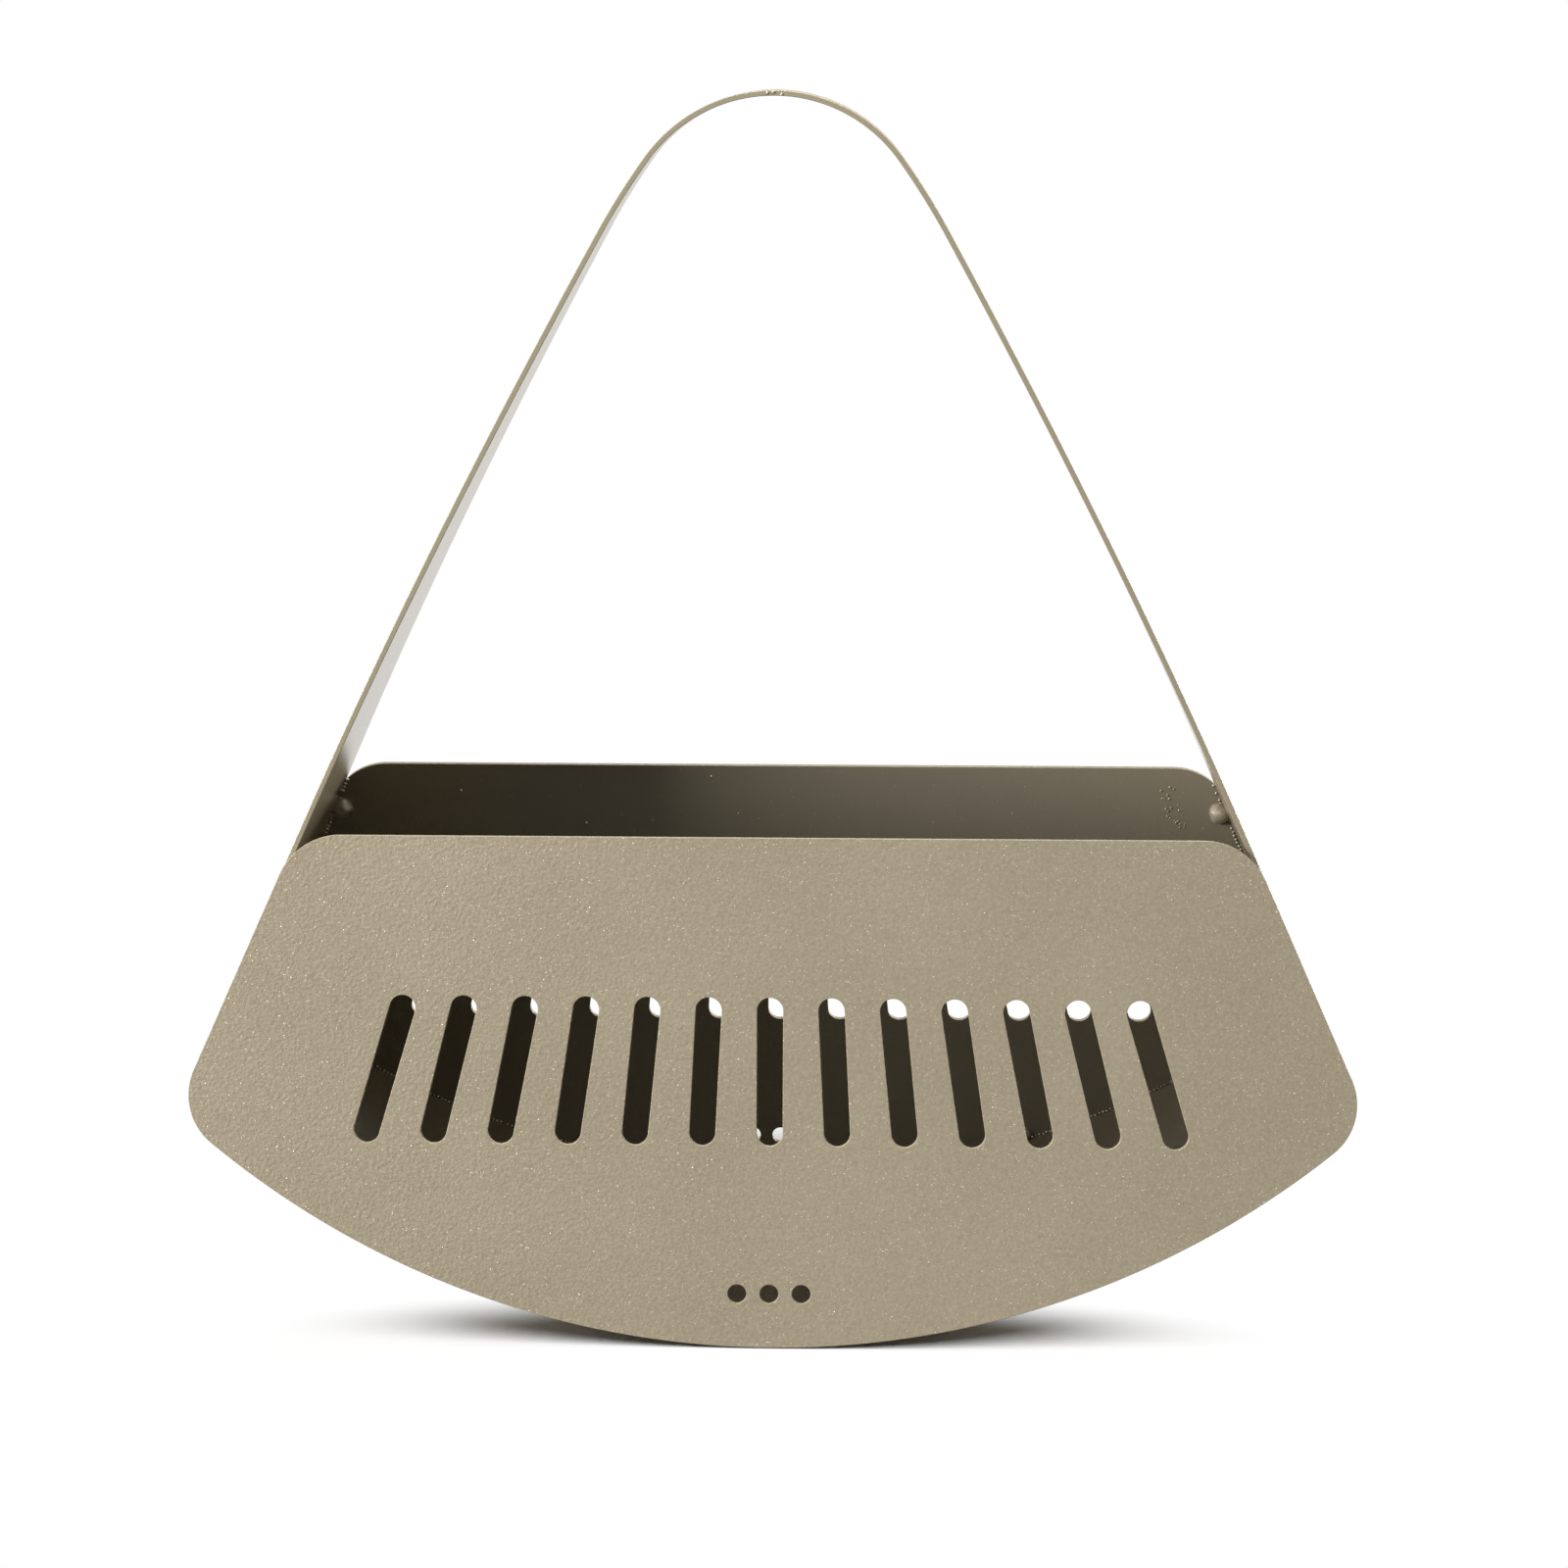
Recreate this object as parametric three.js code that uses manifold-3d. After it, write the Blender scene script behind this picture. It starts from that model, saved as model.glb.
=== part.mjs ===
import * as THREE from "three";
import { mergeVertices } from "three/addons/utils/BufferGeometryUtils.js";
import Module from "manifold-3d";

// Hanging fruit basket of welded, powder-coated sheet steel. Millimetres, +Z up, front towards -Y.
// Two like panels lean in towards each other. Between them a flat strap makes both side walls and
// runs on upwards as the handle, and a curved band makes the floor. The strap narrows upwards,
// because it stays between the two leaning planes as far as the top of the handle.
// The origin is on the floor, under the middle of the basket, which stands on its curved bottom.

const wasm = await Module();
wasm.setup();

// Sheet and seams
const SHEET = 2; // thickness of each sheet
const SEAM_GAP = 0.3; // clearance at a welded seam

// Panels, as seen from the front
const BOTTOM_DEPTH = 170; // over both panels, at the floor
const LEAN = 8.6; // degrees that each panel leans in
const RIM_HEIGHT = 189;
const RIM_WIDTH = 353.5; // where the lines of the sides meet the rim
const SIDE_SLANT = 24; // degrees from the vertical
const BOTTOM_RADIUS = 332;
const RIM_CORNER_RADIUS = 25;
const LOWER_CORNER_RADIUS = 23;

// Vent slots, a fan of round-ended cuts between two level lines
const SLOT_COUNT = 13;
const SLOT_PITCH = 24; // at half height
const SLOT_WIDTH = 9.7;
const SLOT_BOTTOM = 75;
const SLOT_TOP = 130;

// Drain holes in a short row above the lower edge
const DRAIN_COUNT = 3;
const DRAIN_PITCH = 12;
const DRAIN_DIAMETER = 7;
const DRAIN_HEIGHT = 20;

// Handle, outer face
const HANDLE_HEIGHT = 462; // over everything
const APEX_RADIUS = 59;
const APEX_HALF_ANGLE = 54; // degrees of the top bend on each side of the middle
const SHOULDER_RADIUS = 270;
const SHOULDER_ANGLE = 7; // degrees of the wider bend that follows

// Strap and band meet on the straight side, above the lower corner
const SEAM_RISE = 12;

// Tack welds
const TACK_RADIUS = 4;
const TACK_REACH = 2.8; // from the face of the strip to the middle of the weld
const RIM_TACK_DROP = 17.5; // below the rim
const FLOOR_TACK_REACH = 103; // sideways from the middle

// Facets of the round stretches
const CORNER_STEPS = 8;
const BOTTOM_STEPS = 45; // odd, so that the middle one lies flat on the floor
const APEX_STEPS = 17; // odd, so that the middle one is level
const SHOULDER_STEPS = 4;
const BOW_STEPS = 10;
const SLOT_END_STEPS = 8;
const DRAIN_STEPS = 20;
const TACK_STEPS = 20;

const COAT_COLOUR = 0xa89f89;

const lean = THREE.MathUtils.degToRad(LEAN);
const slant = THREE.MathUtils.degToRad(SIDE_SLANT);
const apexHalfAngle = THREE.MathUtils.degToRad(APEX_HALF_ANGLE);
const shoulderEnd = apexHalfAngle + THREE.MathUtils.degToRad(SHOULDER_ANGLE);

// Half the room between the panels' inner faces at the floor, and at any height
const floorHalfRoom = BOTTOM_DEPTH / 2 - SHEET / Math.cos(lean);
const halfRoomAt = (height) => floorHalfRoom - height * Math.tan(lean);

// The right side's line runs down and outwards from the rim
const rimCorner = new THREE.Vector2(RIM_WIDTH / 2, RIM_HEIGHT);
const downSide = new THREE.Vector2(Math.sin(slant), -Math.cos(slant));
const outOfSide = new THREE.Vector2(Math.cos(slant), Math.sin(slant));

/** Points on an arc, both ends included; angles in radians from +X. */
function arc(centre, radius, from, to, steps) {
  const points = [];
  for (let i = 0; i <= steps; i += 1) {
    const angle = from + ((to - from) * i) / steps;
    points.push(new THREE.Vector2(Math.cos(angle), Math.sin(angle)).multiplyScalar(radius).add(centre));
  }
  return points;
}

/** The right half of a path, followed by its mirror image back along the left. */
function mirrored(half) {
  const left = half.map((p) => new THREE.Vector2(-p.x, p.y)).reverse();
  return [...half, ...left];
}

/** The corner between the side and the rim. */
function rimCornerArc() {
  const run = (RIM_CORNER_RADIUS * (1 - Math.sin(slant))) / Math.cos(slant);
  const centre = rimCorner
    .clone()
    .addScaledVector(outOfSide, -RIM_CORNER_RADIUS)
    .addScaledVector(downSide, run);
  return arc(centre, RIM_CORNER_RADIUS, Math.PI / 2, slant, CORNER_STEPS);
}

/** The lower corner and the right half of the bottom arc, whose middle facet lies on the floor. */
function lowerEdge() {
  const straightDown = -Math.PI / 2;
  const inset = rimCorner.clone().addScaledVector(outOfSide, -LOWER_CORNER_RADIUS);
  const reach = BOTTOM_RADIUS - LOWER_CORNER_RADIUS;
  const cornerBelow = (centre) => {
    const toInset = inset.clone().sub(centre);
    const along = toInset.dot(downSide);
    const run = -along + Math.sqrt(along * along - toInset.lengthSq() + reach * reach);
    return inset.clone().addScaledVector(downSide, run);
  };
  const flatStep = (centre) => {
    const toCorner = cornerBelow(centre).sub(centre);
    return (2 * (Math.atan2(toCorner.y, toCorner.x) - straightDown)) / BOTTOM_STEPS;
  };
  const trueCentre = new THREE.Vector2(0, BOTTOM_RADIUS);
  const centre = new THREE.Vector2(0, BOTTOM_RADIUS * Math.cos(flatStep(trueCentre) / 2));
  const step = flatStep(centre);
  const corner = cornerBelow(centre);
  const turn = Math.atan2(corner.y - centre.y, corner.x - centre.x);
  const bend = arc(corner, LOWER_CORNER_RADIUS, slant, turn, CORNER_STEPS);
  const bottom = arc(centre, BOTTOM_RADIUS, turn, straightDown + step / 2, (BOTTOM_STEPS - 1) / 2);
  return { centre, bend, bottom: bottom.slice(1) };
}

const lower = lowerEdge();
const seamPoint = lower.bend[0].clone().addScaledVector(downSide, -SEAM_RISE);

/** The right half of the strap's outer face: up the side, along the bow, the shoulder and the top bend. */
function strapHalf() {
  const halfStep = apexHalfAngle / APEX_STEPS;
  const fromTop = (angle) => Math.PI / 2 - angle;
  const outwards = (angle) => new THREE.Vector2(Math.sin(angle), Math.cos(angle));
  const apexCentre = new THREE.Vector2(0, HANDLE_HEIGHT - APEX_RADIUS * Math.cos(halfStep));
  const shoulderCentre = apexCentre
    .clone()
    .addScaledVector(outwards(apexHalfAngle), APEX_RADIUS - SHOULDER_RADIUS);
  const apexEnds = [fromTop(apexHalfAngle), fromTop(halfStep)];
  const shoulderEnds = [fromTop(shoulderEnd), fromTop(apexHalfAngle)];
  const apex = arc(apexCentre, APEX_RADIUS, ...apexEnds, (APEX_STEPS - 1) / 2);
  const shoulder = arc(shoulderCentre, SHOULDER_RADIUS, ...shoulderEnds, SHOULDER_STEPS);
  const bowTop = shoulder[0];
  const intoShoulder = new THREE.Vector2(Math.cos(shoulderEnd), -Math.sin(shoulderEnd));
  const third = rimCorner.distanceTo(bowTop) / 3;
  const bow = new THREE.CubicBezierCurve(
    rimCorner,
    rimCorner.clone().addScaledVector(downSide, -third),
    bowTop.clone().addScaledVector(intoShoulder, third),
    bowTop,
  ).getPoints(BOW_STEPS);
  return [seamPoint, ...bow, ...shoulder.slice(1), ...apex.slice(1)];
}

/** The right half of the band's outer face: down from the seam, round the corner and along the bottom. */
function bandHalf() {
  return [seamPoint.clone().addScaledVector(downSide, SEAM_GAP), ...lower.bend, ...lower.bottom];
}

/** The path moved sideways by a distance, its facets kept parallel; positive is to the left of travel. */
function offset(path, distance) {
  return path.map((point, i) => {
    const before = path[Math.max(i - 1, 0)];
    const after = path[Math.min(i + 1, path.length - 1)];
    const into = point.clone().sub(i > 0 ? before : point);
    const out = after.clone().sub(point);
    const first = (i > 0 ? into : out).clone().normalize();
    const second = (i < path.length - 1 ? out : into).clone().normalize();
    const left = new THREE.Vector2(-first.y - second.y, first.x + second.x);
    return point.clone().addScaledVector(left, distance / (1 + first.dot(second)));
  });
}

/** A strip whose section runs along a path and whose two edges lie in the panels' leaning planes. */
function strip(path, inwards) {
  const outline = new THREE.Shape([...path, ...offset(path, inwards).reverse()]);
  const geometry = new THREE.ExtrudeGeometry(outline, { depth: 1, bevelEnabled: false });
  const position = geometry.getAttribute("position");
  for (let i = 0; i < position.count; i += 1) {
    const height = position.getY(i);
    const halfWidth = halfRoomAt(height) - SEAM_GAP / Math.cos(lean);
    position.setXYZ(i, position.getX(i), (1 - 2 * position.getZ(i)) * halfWidth, height);
  }
  geometry.computeVertexNormals();
  return geometry;
}

/** A point of the front view, laid into a panel's own plane. */
const onPanel = (point) => new THREE.Vector2(point.x, point.y / Math.cos(lean));

/** One vent slot, on a line from the point where the lines of the two sides meet. */
function slotHole(index) {
  const radius = SLOT_WIDTH / 2;
  const middle = (SLOT_TOP + SLOT_BOTTOM) / 2;
  const fanHeight = RIM_HEIGHT + rimCorner.x / Math.tan(slant);
  const across = (index - (SLOT_COUNT - 1) / 2) * SLOT_PITCH;
  const ray = new THREE.Vector2(across, middle - fanHeight).normalize();
  const at = (height) => new THREE.Vector2((ray.x / ray.y) * (height - fanHeight), height);
  const heading = Math.atan2(ray.y, ray.x);
  const quarter = Math.PI / 2;
  const low = arc(at(SLOT_BOTTOM + radius), radius, heading - quarter, heading + quarter, SLOT_END_STEPS);
  const high = arc(at(SLOT_TOP - radius), radius, heading + quarter, heading + 3 * quarter, SLOT_END_STEPS);
  return new THREE.Path([...low, ...high].map(onPanel));
}

/** One round drain hole. */
function drainHole(index) {
  const across = (index - (DRAIN_COUNT - 1) / 2) * DRAIN_PITCH;
  const centre = new THREE.Vector2(across, DRAIN_HEIGHT);
  const ring = arc(centre, DRAIN_DIAMETER / 2, 0, 2 * Math.PI, DRAIN_STEPS);
  return new THREE.Path(ring.slice(1).map(onPanel));
}

/** A panel lying flat: its outline is flush with the outer faces of the strap and the band. */
function panelGeometry() {
  const half = [...rimCornerArc(), ...lower.bend, ...lower.bottom];
  const outline = new THREE.Shape(mirrored(half).map(onPanel));
  for (let i = 0; i < SLOT_COUNT; i += 1) {
    outline.holes.push(slotHole(i));
  }
  for (let i = 0; i < DRAIN_COUNT; i += 1) {
    outline.holes.push(drainHole(i));
  }
  return new THREE.ExtrudeGeometry(outline, { depth: SHEET, bevelEnabled: false });
}

/** A closed geometry as a solid that can be cut. */
function solidOf(geometry) {
  const bare = geometry.clone();
  bare.deleteAttribute("normal");
  bare.deleteAttribute("uv");
  const merged = mergeVertices(bare);
  const vertProperties = merged.getAttribute("position").array;
  const triVerts = new Uint32Array(merged.index.array);
  return new wasm.Manifold(new wasm.Mesh({ numProp: 3, vertProperties, triVerts }));
}

/** A cut solid as a geometry again. */
function geometryOf(solid) {
  const mesh = solid.getMesh();
  const geometry = new THREE.BufferGeometry();
  geometry.setAttribute("position", new THREE.BufferAttribute(mesh.vertProperties, 3));
  geometry.setIndex(new THREE.BufferAttribute(mesh.triVerts, 1));
  geometry.computeVertexNormals();
  return geometry;
}

/** The room on one side of a sheet's face, a seam's gap away from it, as a block round a weld. */
function roomBeside(point, normal) {
  const side = 4 * TACK_RADIUS;
  const upright = new THREE.Vector3(0, 0, 1);
  const turn = new THREE.Quaternion().setFromUnitVectors(upright, normal);
  const centre = point.clone().addScaledVector(normal, side / 2 + SEAM_GAP);
  const block = new THREE.BoxGeometry(side, side, side).applyQuaternion(turn);
  return solidOf(block.translate(centre.x, centre.y, centre.z));
}

/** A round blob of weld on a panel's inner face, run up against the inner face of a strip. */
function tackGeometry(seat, across) {
  const facing = new THREE.Vector3(seat.inwards.x * across.x, 0, seat.inwards.y);
  const offPanel = new THREE.Vector3(0, -across.y * Math.cos(lean), -Math.sin(lean));
  const y = across.y * halfRoomAt(seat.point.y);
  const corner = new THREE.Vector3(seat.point.x * across.x, y, seat.point.y);
  const middle = corner.clone().addScaledVector(facing, TACK_REACH);
  const ball = new THREE.SphereGeometry(TACK_RADIUS, TACK_STEPS, TACK_STEPS / 2);
  const blob = solidOf(ball.translate(middle.x, middle.y, middle.z));
  return geometryOf(blob.intersect(roomBeside(corner, facing)).intersect(roomBeside(corner, offPanel)));
}

/** Where a tack sits on the strap's inner face, below the rim. */
function rimSeat() {
  const run = RIM_TACK_DROP / Math.cos(slant);
  const point = rimCorner.clone().addScaledVector(downSide, run).addScaledVector(outOfSide, -SHEET);
  return { point, inwards: outOfSide.clone().negate() };
}

/** Where a tack sits on the band's inner face. */
function floorSeat() {
  const reach = BOTTOM_RADIUS - SHEET;
  const drop = Math.sqrt(reach * reach - FLOOR_TACK_REACH * FLOOR_TACK_REACH);
  const point = new THREE.Vector2(FLOOR_TACK_REACH, lower.centre.y - drop);
  return { point, inwards: lower.centre.clone().sub(point).normalize() };
}

/** A named piece in its own powder coat. */
function piece(name, geometry) {
  const coat = new THREE.MeshStandardMaterial({ color: COAT_COLOUR, roughness: 0.5, metalness: 0.3 });
  const mesh = new THREE.Mesh(geometry, coat);
  mesh.name = name;
  return mesh;
}

/** A panel stood up on its lower edge, leaning in, on the front side of its group. */
function leaningPanel(name) {
  const mesh = piece(name, panelGeometry());
  mesh.rotation.x = Math.PI / 2 - lean;
  mesh.position.y = -floorHalfRoom;
  return mesh;
}

const basket = new THREE.Group();
const rear = new THREE.Group();
rear.rotation.z = Math.PI;
rear.add(leaningPanel("back_panel"));
basket.add(leaningPanel("front_panel"), rear);

// Both paths run from the right to the left: the strap over the top, the band underneath
basket.add(piece("handle_strap", strip(mirrored(strapHalf()), SHEET)));
basket.add(piece("bottom_band", strip(mirrored(bandHalf()), -SHEET)));

const tackSeats = { rim: rimSeat(), floor: floorSeat() };
for (const [panel, y] of [["front", -1], ["back", 1]]) {
  for (const [side, x] of [["left", -1], ["right", 1]]) {
    for (const [place, seat] of Object.entries(tackSeats)) {
      const name = `tack_weld_${panel}_${side}_${place}`;
      basket.add(piece(name, tackGeometry(seat, new THREE.Vector2(x, y))));
    }
  }
}

export default basket;
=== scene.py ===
"""Looks of a welded sheet-steel fruit basket in a pearl powder coat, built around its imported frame."""

import logging
import math
from dataclasses import dataclass
from enum import Enum
from itertools import product
from typing import Any

import bpy
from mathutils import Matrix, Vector

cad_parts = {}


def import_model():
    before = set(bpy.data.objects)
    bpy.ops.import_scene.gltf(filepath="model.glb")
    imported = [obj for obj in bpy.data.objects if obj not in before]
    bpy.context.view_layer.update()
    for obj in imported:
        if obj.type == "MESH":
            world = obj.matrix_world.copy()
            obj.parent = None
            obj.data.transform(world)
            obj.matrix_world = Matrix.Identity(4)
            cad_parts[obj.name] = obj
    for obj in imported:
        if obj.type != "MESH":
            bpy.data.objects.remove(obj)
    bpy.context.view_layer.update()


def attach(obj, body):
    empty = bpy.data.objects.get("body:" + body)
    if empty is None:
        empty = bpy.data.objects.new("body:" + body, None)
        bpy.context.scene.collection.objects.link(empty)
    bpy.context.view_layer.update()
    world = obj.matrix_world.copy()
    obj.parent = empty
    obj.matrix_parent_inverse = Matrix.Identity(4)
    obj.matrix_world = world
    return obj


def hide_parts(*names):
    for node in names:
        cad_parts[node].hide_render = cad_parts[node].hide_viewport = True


LOG = logging.getLogger("basket")
MM = 0.001
BODY = "root"
SAME_PLACE = 1e-6
NONE_BELOW = 0.5

# Numbers of sockets that share their names with others of their node
MIX_COLOUR_A = 6
MIX_COLOUR_B = 7
MIX_COLOUR = 2
RANDOM_LEAST = 2
RANDOM_MOST = 3
RANDOM_NUMBER = 1

Tree = bpy.types.NodeTree
Socket = bpy.types.NodeSocket
Piece = bpy.types.Object
Material = bpy.types.Material
Triple = tuple[float, float, float]


class Slot(Enum):
    """Names of material slots."""

    POWDER_COAT = "powder_coat"
    COATED_WELD = "coated_weld"


class Panel(Enum):
    """The two leaning panels, each with its side along Y."""

    FRONT = -1
    BACK = 1


class Side(Enum):
    """The two halves of the basket, each with its side along X."""

    LEFT = -1
    RIGHT = 1


class Reach(Enum):
    """What the flags around a lamp let its light fall on."""

    PAPER = "the paper alone"
    BASKET = "all but the paper"
    OUTSIDE = "all but the paper and the basket's floor"


class Place(Enum):
    """Where a tack weld sits along a panel's edge."""

    RIM = "rim"
    FLOOR = "floor"


def linear(colour: str) -> tuple[float, float, float, float]:
    """Turn an sRGB hex colour into linear red, green, blue and alpha.

    Args:
        colour: Six hex digits after a hash.

    Returns:
        The linear colour, opaque.
    """
    channels = [int(colour[i:i + 2], 16) / 255 for i in (1, 3, 5)]
    curve = [c / 12.92 if c <= 0.04045 else ((c + 0.055) / 1.055) ** 2.4 for c in channels]
    return curve[0], curve[1], curve[2], 1.0


def add_node(tree: Tree, kind: str, inputs: dict | None = None, **settings: Any) -> bpy.types.Node:
    """Add a node with its settings, and set or link its inputs.

    Args:
        tree: The tree that the node goes into.
        kind: Blender's type name of the node.
        inputs: Input names or numbers, each with a value or with the output that feeds it.
        settings: The node's own properties.

    Returns:
        The new node.
    """
    node = tree.nodes.new(kind)
    for name, value in settings.items():
        setattr(node, name, value)
    for key, value in (inputs or {}).items():
        if isinstance(value, Socket):
            tree.links.new(value, node.inputs[key])
        else:
            node.inputs[key].default_value = value
    return node


def made(tree: Tree, kind: str, inputs: dict | None = None, **settings: Any) -> Socket:
    """Add a node and take its first output."""
    return add_node(tree, kind, inputs, **settings).outputs[0]


def maths(tree: Tree, operation: str, *terms: Any) -> Socket:
    """Reckon with numbers: values, or the outputs that feed them."""
    return made(tree, "ShaderNodeMath", dict(enumerate(terms)), operation=operation)


def vectors(tree: Tree, operation: str, *terms: Any) -> Socket:
    """Reckon with vectors, where the result is a vector too."""
    return made(tree, "ShaderNodeVectorMath", dict(enumerate(terms)), operation=operation)


def measure(tree: Tree, operation: str, *terms: Any) -> Socket:
    """Reckon with vectors, where the result is a number."""
    node = add_node(tree, "ShaderNodeVectorMath", dict(enumerate(terms)), operation=operation)
    return node.outputs["Value"]


def scaled(tree: Tree, vector: Socket, factor: Socket) -> Socket:
    """A vector times a number."""
    return made(tree, "ShaderNodeVectorMath", {0: vector, "Scale": factor}, operation="SCALE")


def split(tree: Tree, vector: Socket) -> Any:
    """The outputs X, Y and Z of a vector."""
    return add_node(tree, "ShaderNodeSeparateXYZ", {0: vector}).outputs


def combine(tree: Tree, **parts: Any) -> Socket:
    """A vector from its X, Y and Z, of which those left out are nought."""
    return made(tree, "ShaderNodeCombineXYZ", parts)


def ramp(tree: Tree, value: Socket, *ends: Any, smooth: bool = False) -> Socket:
    """Map a range, by its two ends, onto another one, or onto 0 to 1, and stop at its ends."""
    way = "SMOOTHSTEP" if smooth else "LINEAR"
    return made(tree, "ShaderNodeMapRange", dict(enumerate((value, *ends))), interpolation_type=way)


def noise(tree: Tree, place: Socket, scale: Any, detail: float) -> Socket:
    """A cloudy number at a place."""
    pattern = {"Vector": place, "Scale": scale, "Detail": detail}
    return add_node(tree, "ShaderNodeTexNoise", pattern).outputs["Fac"]


def blend(tree: Tree, factor: Socket, first: Any, second: Any) -> Socket:
    """Blend two colours, from the first to the second."""
    colours = {"Factor": factor, MIX_COLOUR_A: first, MIX_COLOUR_B: second}
    return add_node(tree, "ShaderNodeMix", colours, data_type="RGBA").outputs[MIX_COLOUR]


def shown(tree: Tree) -> Socket:
    """Tell the rays that show a surface, straight or mirrored, from those that it only lights something by.

    Args:
        tree: The tree of a material or a world.

    Returns:
        The output that is 1 on the rays that show it.
    """
    path = add_node(tree, "ShaderNodeLightPath").outputs
    seen = maths(tree, "MAXIMUM", path["Is Camera Ray"], path["Is Glossy Ray"])
    return maths(tree, "MAXIMUM", seen, path["Is Transmission Ray"])


def position(tree: Tree) -> Socket:
    """The place of each point."""
    return made(tree, "GeometryNodeInputPosition")


def mark(tree: Tree, geometry: Socket, name: str, value: Socket) -> Socket:
    """Store a number on each point under a name."""
    note = {"Geometry": geometry, "Name": name, "Value": value}
    return made(tree, "GeometryNodeStoreNamedAttribute", note, domain="POINT")


def marked(tree: Tree, name: str, kind: str = "FLOAT") -> Socket:
    """Read what is stored under a name."""
    return made(tree, "GeometryNodeInputNamedAttribute", {"Name": name}, data_type=kind)


def unmarked(tree: Tree, geometry: Socket, *names: str) -> Socket:
    """Take off what is stored under some names."""
    for name in names:
        geometry = made(tree, "GeometryNodeRemoveAttribute", {"Geometry": geometry, "Name": name})
    return geometry


def together(tree: Tree, *parts: Socket) -> Socket:
    """Join parts into one geometry."""
    join = add_node(tree, "GeometryNodeJoinGeometry")
    for part in parts:
        tree.links.new(part, join.inputs[0])
    return join.outputs[0]


def moved(tree: Tree, geometry: Socket, **where: Socket) -> Socket:
    """Move each point by an Offset or to a Position."""
    return made(tree, "GeometryNodeSetPosition", {"Geometry": geometry} | where)


def turned(tree: Tree, geometry: Socket, **how: Any) -> Socket:
    """Give a whole geometry a Translation, a Rotation or a Scale."""
    return made(tree, "GeometryNodeTransform", {"Geometry": geometry} | how)


def copies(tree: Tree, points: Socket, shape: Socket, **how: Socket) -> Socket:
    """Set a copy of a shape on each point, with a Rotation or a Scale of its own."""
    return made(tree, "GeometryNodeInstanceOnPoints", {"Points": points, "Instance": shape} | how)


def real(tree: Tree, geometry: Socket) -> Socket:
    """Turn copies into real geometry."""
    return made(tree, "GeometryNodeRealizeInstances", {"Geometry": geometry})


def ring(tree: Tree, points: int, radius: Socket) -> Socket:
    """A round curve of some points."""
    return made(tree, "GeometryNodeCurvePrimitiveCircle", {"Resolution": points, "Radius": radius})


def plate(tree: Tree, face: Socket, thickness: Socket) -> tuple[Socket, Socket, Socket]:
    """Give a face of sheet its thickness, the way that it looks, and close it.

    Args:
        tree: The tree.
        face: The face.
        thickness: The sheet's thickness.

    Returns:
        The closed plate, and the outputs that are true on its new face and on its cut edges.
    """
    drawing = {"Mesh": face, "Offset Scale": thickness, "Individual": False}
    drawn = add_node(tree, "GeometryNodeExtrudeMesh", drawing, mode="FACES").outputs
    back = made(tree, "GeometryNodeFlipFaces", {0: face})
    halves = {"Geometry": together(tree, drawn["Mesh"], back), "Distance": SAME_PLACE}
    closed = made(tree, "GeometryNodeMergeByDistance", halves)
    return closed, drawn["Top"], drawn["Side"]


def new_tree(name: str, sockets: dict[str, str]) -> tuple[Tree, dict[str, Socket]]:
    """Start a tree of geometry nodes with a geometry input, named inputs and a geometry output.

    Args:
        name: The tree's name.
        sockets: The named inputs, each with its kind, such as Float or Int.

    Returns:
        The tree, and the outputs of its input node by name.
    """
    tree = bpy.data.node_groups.new(name, "GeometryNodeTree")
    tree.interface.new_socket("Guide", in_out="INPUT", socket_type="NodeSocketGeometry")
    for socket, kind in sockets.items():
        tree.interface.new_socket(socket, in_out="INPUT", socket_type=f"NodeSocket{kind}")
    tree.interface.new_socket("Piece", in_out="OUTPUT", socket_type="NodeSocketGeometry")
    entry = add_node(tree, "NodeGroupInput")
    return tree, {socket.name: socket for socket in entry.outputs if socket.name}


def end_tree(
    tree: Tree,
    geometry: Socket,
    coat: Socket,
    inner_coat: Socket | None = None,
    inner_faces: Socket | None = None,
) -> None:
    """End a tree of geometry nodes: real geometry, shaded smooth, in its coat.

    Args:
        tree: The tree.
        geometry: What the tree has made.
        coat: The material input of the coat.
        inner_coat: The material input of the coat inside the basket, where that is another one.
        inner_faces: The output that is true on the faces with that coat.
    """
    smooth = made(tree, "GeometryNodeSetShadeSmooth", {"Geometry": real(tree, geometry)})
    coated = made(tree, "GeometryNodeSetMaterial", {"Geometry": smooth, "Material": coat})
    if inner_coat:
        change = {"Geometry": coated, "Selection": inner_faces, "Material": inner_coat}
        coated = made(tree, "GeometryNodeSetMaterial", change)
    add_node(tree, "NodeGroupOutput", {"Piece": coated})


def new_finish(name: str) -> tuple[Material, Tree]:
    """Start a material with an empty tree of nodes.

    Args:
        name: The material's name.

    Returns:
        The material and its tree.
    """
    finish = bpy.data.materials.new(name)
    finish.use_nodes = True
    finish.node_tree.nodes.clear()
    return finish, finish.node_tree


def new_piece(
    name: str,
    points: list[Vector],
    edges: list[tuple[int, int]],
    faces: list[tuple[int, ...]] | None = None,
) -> Piece:
    """Link a new object of points, edges and faces, the guide that a tree of nodes turns into a piece.

    Args:
        name: The piece's name.
        points: Places in metres.
        edges: Pairs of point numbers.
        faces: Rings of point numbers.

    Returns:
        The new object, at the origin.
    """
    mesh = bpy.data.meshes.new(name)
    mesh.from_pydata([tuple(p) for p in points], edges, faces or [])
    piece = bpy.data.objects.new(name, mesh)
    bpy.context.scene.collection.objects.link(piece)
    return piece


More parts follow.
